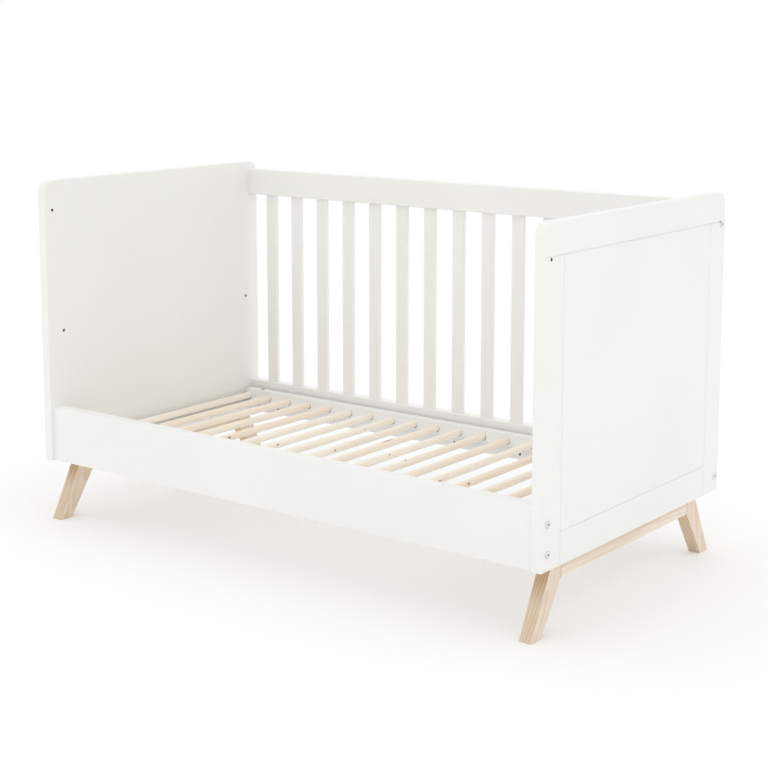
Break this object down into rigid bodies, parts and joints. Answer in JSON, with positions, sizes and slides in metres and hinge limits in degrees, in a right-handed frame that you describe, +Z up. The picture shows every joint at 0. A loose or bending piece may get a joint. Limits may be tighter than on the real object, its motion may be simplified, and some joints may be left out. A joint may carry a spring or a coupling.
{
  "type": "baby crib",
  "caption": "Bench-style baby crib: two grooved end boards on splayed wooden legs, a low front rail, a barred back and a slatted base of round dowels.",
  "frame": {"origin": "on the floor under the middle of the crib", "axes": "+X to the right-hand end board, +Y to the barred back side, +Z up"},
  "size_m": [1.4548, 0.77, 0.845],
  "materials": {
    "white_lacquer": "satin white lacquer on MDF board",
    "leg_wood": "clear matt lacquer on light solid wood",
    "slat_wood": "untreated sanded softwood",
    "plated_bolt": "nickel plated",
    "plated_steel": "zinc plated",
    "brass": "bare"
  },
  "bodies": {
    "crib_frame": {"back_bar_01": "white_lacquer", "back_bar_02": "white_lacquer", "back_bar_03": "white_lacquer", "back_bar_04": "white_lacquer", "back_bar_05": "white_lacquer", "back_bar_06": "white_lacquer", "back_bar_07": "white_lacquer", "back_bar_08": "white_lacquer", "back_bar_09": "white_lacquer", "back_bar_10": "white_lacquer", "back_bar_11": "white_lacquer", "back_bar_12": "white_lacquer", "back_bar_13": "white_lacquer", "back_bar_14": "white_lacquer", "back_bar_15": "white_lacquer", "back_bottom_rail": "white_lacquer", "back_top_rail": "white_lacquer", "barrel_nuts": "plated_steel", "cleat_screws": "plated_steel", "connecting_bolts": "plated_bolt", "end_cleat_left": "white_lacquer", "end_cleat_right": "white_lacquer", "end_panel_left": "white_lacquer", "end_panel_right": "white_lacquer", "front_rail": "white_lacquer", "height_inserts": "brass", "leg_back_left": "leg_wood", "leg_back_right": "leg_wood", "leg_frame_screws": "plated_steel", "leg_front_left": "leg_wood", "leg_front_right": "leg_wood", "leg_joint_dowels": "leg_wood", "leg_locating_dowels": "leg_wood", "leg_stretcher_left": "leg_wood", "leg_stretcher_right": "leg_wood"},
    "slatted_base": {"base_barrel_nuts": "plated_steel", "base_rail_back": "white_lacquer", "base_rail_front": "white_lacquer", "base_slat_01": "slat_wood", "base_slat_02": "slat_wood", "base_slat_03": "slat_wood", "base_slat_04": "slat_wood", "base_slat_05": "slat_wood", "base_slat_06": "slat_wood", "base_slat_07": "slat_wood", "base_slat_08": "slat_wood", "base_slat_09": "slat_wood", "base_slat_10": "slat_wood", "base_slat_11": "slat_wood", "base_slat_12": "slat_wood", "base_slat_13": "slat_wood", "base_slat_14": "slat_wood", "base_slat_15": "slat_wood", "base_slat_16": "slat_wood", "base_slat_17": "slat_wood", "base_slat_18": "slat_wood", "base_slat_19": "slat_wood", "base_slat_20": "slat_wood", "base_studs": "plated_steel"}
  },
  "joints": [
    {"name": "base_height", "type": "slide", "parent": "crib_frame", "child": "slatted_base", "axis": [0, 0, 1], "range_m": [0, 0.2772]}
  ]
}
